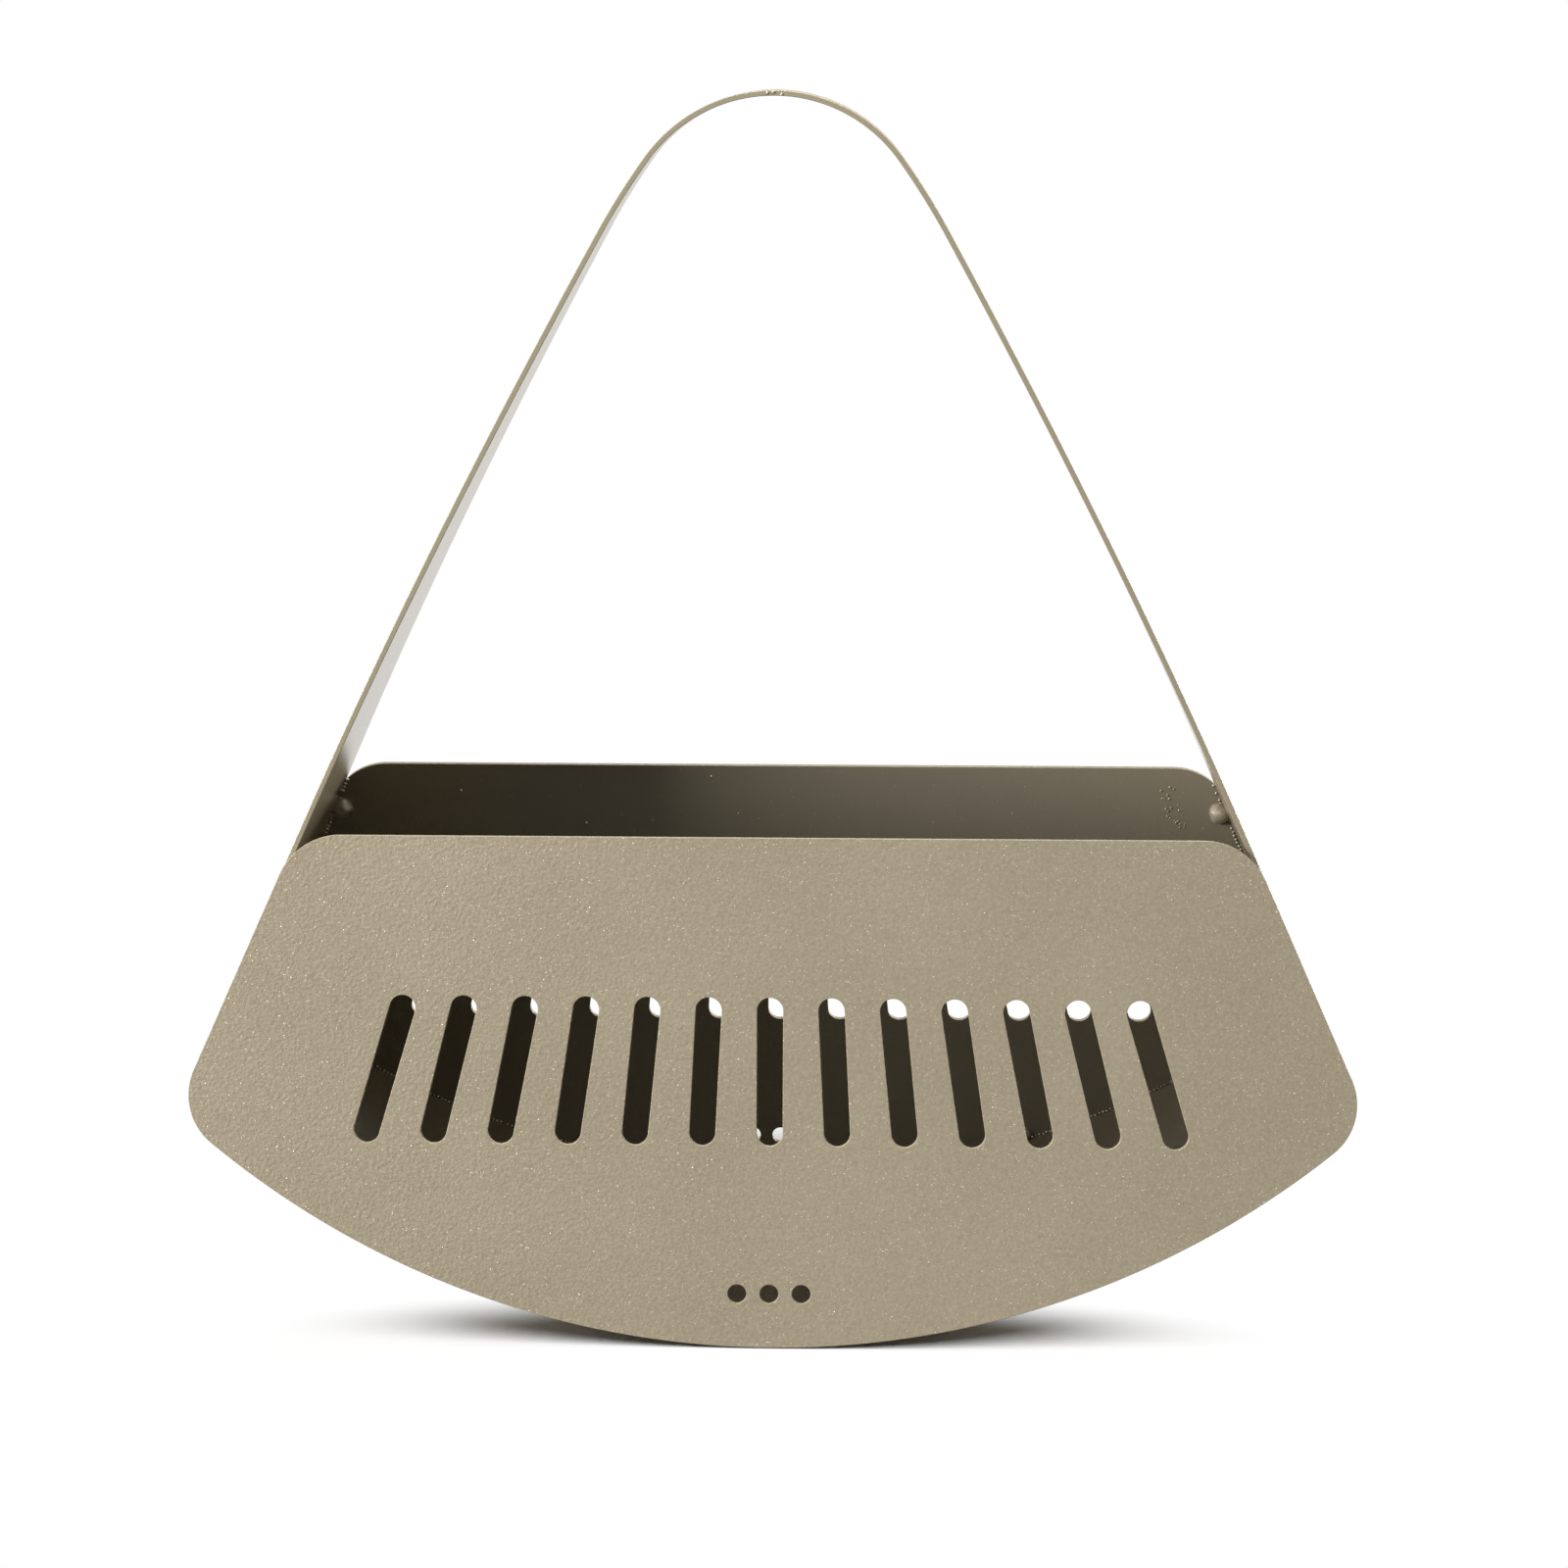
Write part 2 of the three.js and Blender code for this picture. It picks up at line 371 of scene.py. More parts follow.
def grow(piece: Piece, tree: Tree, values: dict[str, Any]) -> None:
    """Put a tree of nodes on a piece and set its named inputs.

    Args:
        piece: The object that holds the guide.
        tree: The tree of nodes.
        values: A value for each input, under its name in small letters with underscores.
    """
    modifier = piece.modifiers.new(tree.name, "NODES")
    modifier.node_group = tree
    for socket in tree.interface.items_tree:
        name = socket.name.lower().replace(" ", "_")
        if socket.in_out == "INPUT" and name in values:
            modifier[socket.identifier] = values[name]


def round_edges(piece: Piece, width: float, steps: int = 3, sharp: float = math.radians(40)) -> None:
    """Round the cut edges of a sheet, as the coat does when it melts.

    Args:
        piece: The sheet.
        width: How far the rounding reaches from the edge.
        steps: How many flat steps stand for it.
        sharp: The least angle of an edge that is rounded.
    """
    bevel = piece.modifiers.new("edge_rounding", "BEVEL")
    bevel.width = width
    bevel.segments = steps
    bevel.limit_method = "ANGLE"
    bevel.angle_limit = sharp
    bevel.harden_normals = True


def freeze(piece: Piece) -> None:
    """Turn what a piece's modifiers make into its plain mesh, without empty material slots.

    Args:
        piece: The object to freeze.
    """
    grown = piece.evaluated_get(bpy.context.evaluated_depsgraph_get())
    mesh = bpy.data.meshes.new_from_object(grown)
    mesh.name = piece.name
    for i in reversed(range(len(mesh.materials))):
        if mesh.materials[i] is None:
            mesh.materials.pop(index=i)
    guide = piece.data
    piece.modifiers.clear()
    piece.data = mesh
    bpy.data.meshes.remove(guide)


def hand_over(piece: Piece, nodes: list[str]) -> None:
    """Fix a finished piece to the frame and report it.

    Args:
        piece: The finished piece.
        nodes: The CAD nodes that it stands for.
    """
    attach(piece, BODY)
    if nodes:
        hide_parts(*nodes)
    stands_for = ", ".join(nodes) or "no node"
    LOG.info("%s: %d faces, stands for %s", piece.name, len(piece.data.polygons), stands_for)


def arc(centre: Vector, radius: float, start: float, end: float, steps: int) -> list[Vector]:
    """Points on an arc of the front view, both ends included, with its angles from +X in radians."""
    angles = [start + (end - start) * i / steps for i in range(steps + 1)]
    return [centre + radius * Vector((math.cos(a), math.sin(a))) for a in angles]


def mirrored(half: list[Vector]) -> list[Vector]:
    """The right half of a path down to its middle point, followed by its mirror image on the left."""
    return half + [Vector((-p.x, p.y)) for p in reversed(half[:-1])]


@dataclass(frozen=True)
class BasketPlan:
    """The basket's driving sizes, and the lines of its front view that follow from them."""

    sheet: float = 2 * MM
    seam_gap: float = 0.3 * MM
    bottom_depth: float = 170 * MM
    lean: float = math.radians(8.6)
    rim_height: float = 189 * MM
    rim_width: float = 353.5 * MM
    slant: float = math.radians(24)
    bottom_radius: float = 332 * MM
    rim_corner_radius: float = 25 * MM
    lower_corner_radius: float = 23 * MM
    handle_height: float = 462 * MM
    apex_radius: float = 59 * MM
    apex_half_angle: float = math.radians(54)
    shoulder_radius: float = 270 * MM
    shoulder_angle: float = math.radians(7)
    seam_rise: float = 12 * MM
    corner_steps: int = 24
    bottom_steps: int = 90
    bow_steps: int = 48
    shoulder_steps: int = 12
    apex_steps: int = 48

    @property
    def floor_half_room(self) -> float:
        """Half the room between the panels' inner faces at the floor."""
        return self.bottom_depth / 2 - self.sheet / math.cos(self.lean)

    @property
    def rim_corner(self) -> Vector:
        """Where the line of the right side meets the rim."""
        return Vector((self.rim_width / 2, self.rim_height))

    @property
    def down_side(self) -> Vector:
        """The way down along the right side."""
        return Vector((math.sin(self.slant), -math.cos(self.slant)))

    @property
    def out_of_side(self) -> Vector:
        """The way out of the right side."""
        return Vector((math.cos(self.slant), math.sin(self.slant)))

    @property
    def bottom_centre(self) -> Vector:
        """The centre of the bottom arc, which touches the floor."""
        return Vector((0, self.bottom_radius))

    def half_room(self, height: float) -> float:
        """Half the room between the panels' inner faces at a height."""
        return self.floor_half_room - height * math.tan(self.lean)

    def lower_corner(self) -> tuple[Vector, float]:
        """Find the lower right corner's arc.

        Returns:
            Its centre, and the angle at which it runs into the bottom arc.
        """
        inset = self.rim_corner - self.lower_corner_radius * self.out_of_side
        reach = self.bottom_radius - self.lower_corner_radius
        away = inset - self.bottom_centre
        along = away.dot(self.down_side)
        run = math.sqrt(along ** 2 - away.length_squared + reach ** 2) - along
        centre = inset + run * self.down_side
        turn = centre - self.bottom_centre
        return centre, math.atan2(turn.y, turn.x)

    def rim_bend(self) -> list[Vector]:
        """The corner between the rim and the right side."""
        run = self.rim_corner_radius * (1 - math.sin(self.slant)) / math.cos(self.slant)
        centre = self.rim_corner - self.rim_corner_radius * self.out_of_side + run * self.down_side
        return arc(centre, self.rim_corner_radius, math.pi / 2, self.slant, self.corner_steps)

    def lower_half(self, inset: float = 0.0) -> list[Vector]:
        """The lower right corner and the bottom arc as far as the middle.

        Args:
            inset: How far inside the panel's edge the line runs.

        Returns:
            The points in order.
        """
        centre, turn = self.lower_corner()
        bend = arc(centre, self.lower_corner_radius - inset, self.slant, turn, self.corner_steps)
        bottom = arc(self.bottom_centre, self.bottom_radius - inset, turn, -math.pi / 2, self.bottom_steps)
        return bend + bottom[1:]

    def seam_point(self) -> Vector:
        """Where the strap and the band meet on the right side's outer face."""
        return self.lower_half()[0] - self.seam_rise * self.down_side

    def panel_outline(self) -> list[Vector]:
        """The closed outline of a panel."""
        return mirrored(self.rim_bend() + self.lower_half())

    def band_path(self) -> list[Vector]:
        """The band's outer face from the right seam to the left one."""
        return mirrored([self.seam_point() + self.seam_gap * self.down_side] + self.lower_half())

    def strap_path(self) -> list[Vector]:
        """The strap's outer face from the left seam over the top to the right one.

        Returns:
            The points in order.
        """
        top = Vector((0, self.handle_height - self.apex_radius))
        bend_end = math.pi / 2 - self.apex_half_angle
        away = Vector((math.cos(bend_end), math.sin(bend_end)))
        wide = top + (self.apex_radius - self.shoulder_radius) * away
        start = bend_end - self.shoulder_angle
        shoulder = arc(wide, self.shoulder_radius, start, bend_end, self.shoulder_steps)
        apex = arc(top, self.apex_radius, bend_end, math.pi / 2, self.apex_steps)
        bow = self.bow(self.rim_corner, shoulder[0], Vector((math.sin(start), -math.cos(start))))
        return mirrored([self.seam_point()] + bow + shoulder[1:] + apex[1:])[::-1]

    def bow(self, low: Vector, high: Vector, back: Vector) -> list[Vector]:
        """The slightly bowed stretch of the strap between the side wall and the shoulder.

        Args:
            low: Where it leaves the side wall.
            high: Where it runs into the shoulder.
            back: The way back down along the shoulder's end.

        Returns:
            Points on a cubic curve that runs smoothly into both.
        """
        third = (high - low).length / 3
        hold = [low, low - third * self.down_side, high + third * back, high]
        points = []
        for i in range(self.bow_steps + 1):
            t = i / self.bow_steps
            weights = [(1 - t) ** 3, 3 * t * (1 - t) ** 2, 3 * t ** 2 * (1 - t), t ** 3]
            points.append(sum((w * p for w, p in zip(weights, hold)), Vector((0, 0))))
        return points

    def in_room(self, point: Vector, panel: Panel, side: Side) -> Vector:
        """Lay a point of the front view's right half onto a panel's inner face, in a half of the basket."""
        return Vector((side.value * point.x, panel.value * self.half_room(point.y), point.y))

    def off_panel(self, panel: Panel) -> Vector:
        """The way off a panel's inner face, into the basket."""
        return Vector((0, -panel.value * math.cos(self.lean), -math.sin(self.lean)))

    def strap_seam(self, panel: Panel, side: Side, start: float, clear: float) -> list[Vector]:
        """A line on a panel's inner face, beside the strap's side wall.

        Args:
            panel: The panel.
            side: The half of the basket.
            start: How far below the rim corner it starts, along the side.
            clear: How far from the strap it runs.

        Returns:
            Its two ends, from the top.
        """
        inset = (self.sheet + clear) * self.out_of_side
        ends = (self.rim_corner + start * self.down_side, self.seam_point())
        return [self.in_room(end - inset, panel, side) for end in ends]

    def band_seam(self, panel: Panel, side: Side, clear: float) -> list[Vector]:
        """A line on a panel's inner face beside half of the band, from the lower corner to the middle."""
        return [self.in_room(point, panel, side) for point in self.lower_half(self.sheet + clear)]


@dataclass(frozen=True)
class PearlPowderCoat:
    """Polyester powder coat with mica flakes, sprayed on as dry powder and baked until it flows.

    It gives the eye a warm grey beige, semi-matt and slightly metallic: the flow leaves a fine orange peel,
    and flakes near the surface, each tilted its own way, glint where they mirror the lamp.
    """

    MEAN_COLOUR = (0.5, 0.5, 0.5)

    name: str = "pearl_powder_coat"
    base: str = "#ACA088"
    shade: str = "#9A8E76"
    fleck: str = "#CCC2AE"
    roughness: float = 0.42
    metal: float = 0.0
    cloud: float = 70 * MM
    cloud_share: float = 0.3
    cloud_detail: float = 2.0
    darkest: float = 0.34
    lightest: float = 0.66
    grain: float = 1.3 * MM
    grain_detail: float = 3.0
    grain_depth: float = 0.145 * MM
    coarse_end: float = -120 * MM
    fine_end: float = 50 * MM
    fine_share: float = 0.3
    fleck_spacing: float = 0.9 * MM
    fleck_edge: float = 0.3
    fleck_core: float = 0.12
    fleck_share: float = 0.42
    fleck_tilt: float = 0.4
    fleck_metal: float = 0.28

    def build(self) -> Material:
        """Make the material.

        Returns:
            The material, on object coordinates.
        """
        coat, tree = new_finish(self.name)
        place = add_node(tree, "ShaderNodeTexCoord").outputs["Object"]

        # The binder's colour drifts over a hand's breadth and is mottled by single grains of powder
        cloud = noise(tree, place, 1 / self.cloud, self.cloud_detail)
        grain = noise(tree, place, 1 / self.grain, self.grain_detail)
        drift = maths(tree, "MULTIPLY", cloud, self.cloud_share)
        mottle = maths(tree, "MULTIPLY_ADD", grain, 1 - self.cloud_share, drift)
        spread = ramp(tree, mottle, self.darkest, self.lightest)
        binder = blend(tree, spread, linear(self.shade), linear(self.base))

        # Flakes lie about a millimetre apart, and only some of them are near enough to the surface to show
        cells = {"Vector": place, "Scale": 1 / self.fleck_spacing}
        flakes = add_node(tree, "ShaderNodeTexVoronoi", cells).outputs
        core = ramp(tree, flakes["Distance"], self.fleck_edge, self.fleck_core, smooth=True)
        luck = add_node(tree, "ShaderNodeTexWhiteNoise", {"Vector": flakes["Position"]}).outputs["Value"]
        glint = maths(tree, "MULTIPLY", core, maths(tree, "LESS_THAN", luck, self.fleck_share))
        colour = blend(tree, glint, binder, linear(self.fleck))

        # Grains that didn't flow out stand up as sand, coarser on the left, where more powder landed
        sand = ramp(tree, split(tree, place)["X"], self.coarse_end, self.fine_end, 1.0, self.fine_share)
        height = maths(tree, "MULTIPLY", grain, sand)
        relief = {"Height": height, "Distance": 2 * self.grain_depth, "Strength": 1.0}
        bump = made(tree, "ShaderNodeBump", relief)

        # A flake's tilt is its own, so only those that happen to face halfway to the lamp flash
        chance = vectors(tree, "SUBTRACT", flakes["Color"], self.MEAN_COLOUR)
        tilt = scaled(tree, chance, maths(tree, "MULTIPLY", glint, 2 * self.fleck_tilt))
        facing = vectors(tree, "NORMALIZE", vectors(tree, "ADD", bump, tilt))
        metal = maths(tree, "MULTIPLY_ADD", glint, self.fleck_metal, self.metal)
        look = {"Base Color": colour, "Roughness": self.roughness, "Metallic": metal, "Normal": facing}
        shader = made(tree, "ShaderNodeBsdfPrincipled", look)
        add_node(tree, "ShaderNodeOutputMaterial", {"Surface": shader})
        return coat


class Coat(Enum):
    """The one powder coat, as it lies on each part of the basket, with painted shade in the inner variant.
    """

    # Sprayed straight on: sandy and lively, with a glint here and there
    OUTER = PearlPowderCoat()

    # Less powder drifts into the basket: a thin, even skin with a soft sheen; its darker colour is painted
    # shade for the dim inside
    INNER = PearlPowderCoat(
        "thin_pearl_coat", "#958C7A", "#918977", roughness=0.36, grain_depth=0.006 * MM, fleck_share=0.03
    )

    # Flowed out on the strap's inner face and edges: glossy, so that it mirrors the room
    STRAP = PearlPowderCoat(
        "smooth_pearl_coat", "#9E937A", "#9A8F76", roughness=0.2, grain_depth=0.003 * MM, fleck_share=0.0
    )

    # Pulled thin over a dome of weld: paler, with a wide soft highlight
    WELD = PearlPowderCoat(
        "pearl_coat_on_weld",
        "#B0A692",
        "#AAA08C",
        roughness=0.44,
        grain_depth=0.004 * MM,
        fleck_share=0.0,
        metal=0.15,
    )

    # Thinnest on the crown of a grain: a pale dot with a small bright highlight
    GRAIN = PearlPowderCoat(
        "pearl_coat_on_grain",
        "#B8AE9A",
        "#B2A894",
        roughness=0.3,
        grain_depth=0.004 * MM,
        fleck_share=0.0,
        metal=0.5,
    )


@dataclass(frozen=True)
class LeaningPanel:
    """One flat panel: a sheet with a fan of vent slots and a short row of drain holes, leaning in."""

    SLOT_POINTS = 48
    DRAIN_POINTS = 40

    plan: BasketPlan
    panel: Panel
    slot_count: int = 13
    slot_pitch: float = 24 * MM
    slot_width: float = 9.7 * MM
    slot_bottom: float = 75 * MM
    slot_top: float = 130 * MM
    drain_count: int = 3
    drain_pitch: float = 12 * MM
    drain_diameter: float = 7 * MM
    drain_height: float = 20 * MM
    edge_rounding: float = 0.6 * MM

    @staticmethod
    def row(tree: Tree, count: Socket, pitch: Socket, height: Socket) -> Socket:
        """Points in a level row that is centred on the panel.

        Args:
            tree: The tree.
            count: How many points.
            pitch: The distance between them.
            height: The row's height.

        Returns:
            The points.
        """
        span = maths(tree, "MULTIPLY", maths(tree, "SUBTRACT", count, 1.0), pitch)
        start = combine(tree, X=maths(tree, "MULTIPLY", span, -0.5), Y=height)
        line = {"Count": count, "Start Location": start, "Offset": combine(tree, X=pitch)}
        return made(tree, "GeometryNodeMeshLine", line)

    @classmethod
    def slots(cls, tree: Tree, size: dict[str, Socket]) -> Socket:
        """The outlines of the vent slots, each a ring drawn out along its own ray of the fan.

        Args:
            tree: The tree.
            size: The tree's named inputs.

        Returns:
            The slots' closed curves.
        """
        points = cls.row(tree, size["Slot Count"], size["Slot Pitch"], size["Slot Height"])
        part = split(tree, position(tree))
        ray = maths(tree, "ARCTAN2", part["X"], size["Fan Reach"])
        fan = mark(tree, points, "ray", ray)

        # Turned by half a step, the ring has as many points in its upper half as in its lower one
        circle = ring(tree, cls.SLOT_POINTS, size["Slot Radius"])
        circle = turned(tree, circle, Rotation=(0, 0, math.pi / cls.SLOT_POINTS))
        ends = mark(tree, circle, "end", maths(tree, "SIGN", part["Y"]))
        rings = real(tree, copies(tree, fan, ends, Rotation=combine(tree, Z=ray)))
        slope = maths(tree, "TANGENT", marked(tree, "ray"))
        way = combine(tree, X=maths(tree, "MULTIPLY", slope, -1.0), Y=1.0)
        pull = maths(tree, "MULTIPLY", marked(tree, "end"), size["Slot Half Length"])
        return moved(tree, rings, Offset=scaled(tree, way, pull))

    @classmethod
    def tree(cls) -> Tree:
        """The nodes that punch an outline, give it the sheet's thickness and stand it up.

        Returns:
            The tree, shared by both panels.
        """
        slot_sizes = ("Slot Pitch", "Slot Radius", "Slot Half Length", "Slot Height", "Fan Reach")
        drain_sizes = ("Drain Pitch", "Drain Radius", "Drain Height")
        sockets = dict.fromkeys(("Slot Count", "Drain Count"), "Int")
        sockets |= dict.fromkeys(("Coat", "Thin Coat"), "Material")
        sockets |= dict.fromkeys((*slot_sizes, *drain_sizes, "Sheet"), "Float")
        sockets |= dict.fromkeys(("Stretch", "Stand Up", "Step Out", "Turn"), "Vector")
        tree, size = new_tree("punched_panel", sockets)
        outline = made(tree, "GeometryNodeMeshToCurve", {0: size["Guide"]})
        drains = cls.row(tree, size["Drain Count"], size["Drain Pitch"], size["Drain Height"])
        holes = real(tree, copies(tree, drains, ring(tree, cls.DRAIN_POINTS, size["Drain Radius"])))
        lines = together(tree, outline, cls.slots(tree, size), holes)
        face = made(tree, "GeometryNodeFillCurve", {0: lines}, mode="NGONS")
        sheet, outer, edge = plate(tree, turned(tree, face, Scale=size["Stretch"]), size["Sheet"])
        stood = turned(tree, sheet, Rotation=size["Stand Up"], Translation=size["Step Out"])
        bare = unmarked(tree, turned(tree, stood, Rotation=size["Turn"]), "ray", "end")
        # The inner face takes the inner coat, whose darker colour is painted shade
        inner = made(tree, "FunctionNodeBooleanMath", {0: outer, 1: edge}, operation="NOR")
        end_tree(tree, bare, size["Coat"], size["Thin Coat"], inner)
        return tree

    def build(self, tree: Tree, coat: Material, thin_coat: Material) -> Piece:
        """Make the panel's mesh in its coat.

        Args:
            tree: The punching tree.
            coat: The powder coat of the outer face and the edges.
            thin_coat: The powder coat as it lies inside the basket, darker by painted shade.

        Returns:
            The finished panel.
        """
        plan = self.plan
        points = [Vector((p.x, p.y, 0)) for p in plan.panel_outline()]
        edges = [(i, (i + 1) % len(points)) for i in range(len(points))]
        name = self.panel.name.lower()
        piece = new_piece(f"{name}_sheet", points, edges)
        middle = (self.slot_bottom + self.slot_top) / 2
        radius = self.slot_width / 2
        fan_height = plan.rim_height + plan.rim_corner.x / math.tan(plan.slant)
        values = vars(self) | {
            "slot_radius": radius,
            "slot_half_length": (self.slot_top - self.slot_bottom) / 2 - radius,
            "slot_height": middle,
            "fan_reach": fan_height - middle,
            "drain_radius": self.drain_diameter / 2,
            "sheet": plan.sheet,
            "stretch": (1, 1 / math.cos(plan.lean), 1),
            "stand_up": (math.pi / 2 - plan.lean, 0, 0),
            "step_out": (0, -plan.floor_half_room, 0),
            "turn": (0, 0, math.pi if self.panel is Panel.BACK else 0),
            "coat": coat,
            "thin_coat": thin_coat,
        }
        grow(piece, tree, values)
        round_edges(piece, self.edge_rounding)
        freeze(piece)
        hand_over(piece, [f"{name}_panel"])
        return piece


@dataclass(frozen=True)
class LeaningStrip:
    """A strip along a path with the basket's inside on its right, narrowing between the leaning panels."""

    FIRST_WIDTH = MM

    plan: BasketPlan
    name: str
    node: str
    path: list[Vector]
    edge_rounding: float = 0.3 * MM

    @classmethod
    def tree(cls) -> Tree:
        """The nodes that draw a path out to a strip, give it thickness and trim it to the leaning planes.

        Returns:
            The tree, shared by the strap and the band.
        """
        sockets = dict.fromkeys(("Sheet", "Half Room", "Lean Slope"), "Float")
        sockets |= dict.fromkeys(("Coat", "Inner Coat"), "Material")
        tree, size = new_tree("leaning_strip", sockets)
        backwards = made(tree, "FunctionNodeInputVector", vector=(0, 1, 0))
        draft = {"Mesh": size["Guide"], "Offset": backwards, "Offset Scale": cls.FIRST_WIDTH}
        drawn = made(tree, "GeometryNodeExtrudeMesh", draft, mode="EDGES")
        part = split(tree, position(tree))
        edge = maths(tree, "SIGN", maths(tree, "SUBTRACT", part["Y"], cls.FIRST_WIDTH / 2))
        strip, inner, sides = plate(tree, mark(tree, drawn, "edge", edge), size["Sheet"])

        # Both edges go out to the leaning planes, which are nearer to each other higher up
        loss = maths(tree, "MULTIPLY", part["Z"], size["Lean Slope"])
        room = maths(tree, "SUBTRACT", size["Half Room"], loss)
        across = maths(tree, "MULTIPLY", marked(tree, "edge"), room)
        trimmed = moved(tree, strip, Position=combine(tree, X=part["X"], Y=across, Z=part["Z"]))
        bare = unmarked(tree, trimmed, "edge")
        inside = made(tree, "FunctionNodeBooleanMath", {0: inner, 1: sides}, operation="OR")
        end_tree(tree, bare, size["Coat"], size["Inner Coat"], inside)
        return tree

    def build(self, tree: Tree, coat: Material, inner_coat: Material) -> Piece:
        """Make the strip's mesh in its coat.

        Args:
            tree: The strip tree.
            coat: The powder coat of the outer face.
            inner_coat: The powder coat as it lies on the inner face and the edges.

        Returns:
            The finished strip.
        """
        plan = self.plan
        points = [Vector((p.x, 0, p.y)) for p in self.path]
        piece = new_piece(self.name, points, [(i, i + 1) for i in range(len(points) - 1)])
        values = {
            "sheet": plan.sheet,
            "half_room": plan.floor_half_room - plan.seam_gap / math.cos(plan.lean),
            "lean_slope": math.tan(plan.lean),
            "coat": coat,
            "inner_coat": inner_coat,
        }
        grow(piece, tree, values)
        round_edges(piece, self.edge_rounding)
        freeze(piece)
        hand_over(piece, [self.node])
        return piece


@dataclass(frozen=True)
class TackWelds:
    """The eight blobs of weld in the inner corners, each a dome on a panel and against the strip."""

    BALL_FINENESS = 4
    MELT_DETAIL = 1.0
    MELT_LOW = 0.3
    MELT_HIGH = 0.7
    CORNER_MARKS = ("corner", "off_panel", "off_strip")

    plan: BasketPlan
    radius: float = 4.5 * MM
    reach: float = 2.8 * MM
    rim_drop: float = 17.5 * MM
    floor_reach: float = 103 * MM
    sunk: float = 0.4 * MM
    swell: float = 0.8 * MM
    swell_size: float = 5 * MM

    @classmethod
    def tree(cls) -> Tree:
        """The nodes that set a ball at each guide point, swell it unevenly and press it into its corner.

        Returns:
            The tree.
        """
        floats = ("Radius", "Sunk", "Swell", "Swell Size")
        tree, size = new_tree("tack_welds", {"Coat": "Material"} | dict.fromkeys(floats, "Float"))
        shape = {"Radius": size["Radius"], "Subdivisions": cls.BALL_FINENESS}
        ball = made(tree, "GeometryNodeMeshIcoSphere", shape)
        blobs = real(tree, copies(tree, size["Guide"], ball))

        # The melt swells by half of its range at most, out of the ball or into it
        place = position(tree)
        melt = noise(tree, place, maths(tree, "DIVIDE", 1.0, size["Swell Size"]), cls.MELT_DETAIL)
        uneven = ramp(tree, melt, cls.MELT_LOW, cls.MELT_HIGH, -0.5, 0.5)
        rise = maths(tree, "MULTIPLY", uneven, size["Swell"])
        way = made(tree, "GeometryNodeInputNormal")
        blobs = moved(tree, blobs, Offset=scaled(tree, way, rise))

        # What would lie too deep in the panel or in the strip comes back to their faces
        corner, *faces = [marked(tree, name, "FLOAT_VECTOR") for name in cls.CORNER_MARKS]
        from_corner = vectors(tree, "SUBTRACT", place, corner)
        for off in faces:
            depth = maths(tree, "ADD", measure(tree, "DOT_PRODUCT", from_corner, off), size["Sunk"])
            back = maths(tree, "MULTIPLY", maths(tree, "MINIMUM", depth, 0.0), -1.0)
            blobs = moved(tree, blobs, Offset=scaled(tree, off, back))
        end_tree(tree, unmarked(tree, blobs, *cls.CORNER_MARKS), size["Coat"])
        return tree

    def seat(self, place: Place) -> tuple[Vector, Vector]:
        """Find a weld's corner in the front view's right half.

        Args:
            place: Where the weld sits along the panel's edge.

        Returns:
            The point on the strip's inner face, and the way from there into the basket.
        """
        plan = self.plan
        if place is Place.RIM:
            down = self.rim_drop / math.cos(plan.slant) * plan.down_side
            return plan.rim_corner + down - plan.sheet * plan.out_of_side, -plan.out_of_side
        inner_radius = plan.bottom_radius - plan.sheet
        drop = math.sqrt(inner_radius ** 2 - self.floor_reach ** 2)
        point = plan.bottom_centre + Vector((self.floor_reach, -drop))
        return point, (plan.bottom_centre - point).normalized()

    def build(self, coat: Material) -> Piece:
        """Make all eight welds as one mesh.

        Args:
            coat: The powder coat as it lies on a weld.

        Returns:
            The finished welds.
        """
        plan = self.plan
        nodes = []
        middles = []
        marks: dict[str, list[Vector]] = {name: [] for name in self.CORNER_MARKS}
        for panel, side, place in product(Panel, Side, Place):
            point, inwards = self.seat(place)
            corner = plan.in_room(point, panel, side)
            off_strip = Vector((side.value * inwards.x, 0, inwards.y))
            for name, vector in zip(self.CORNER_MARKS, (corner, plan.off_panel(panel), off_strip)):
                marks[name].append(vector)
            middles.append(corner + self.reach * off_strip)
            nodes.append(f"tack_weld_{panel.name}_{side.name}_{place.name}".lower())
        piece = new_piece("tack_welds", middles, [])
        for name, places in marks.items():
            attribute = piece.data.attributes.new(name, "FLOAT_VECTOR", "POINT")
            attribute.data.foreach_set("vector", [value for vector in places for value in vector])
        grow(piece, self.tree(), vars(self) | {"coat": coat})
        freeze(piece)
        hand_over(piece, nodes)
        return piece


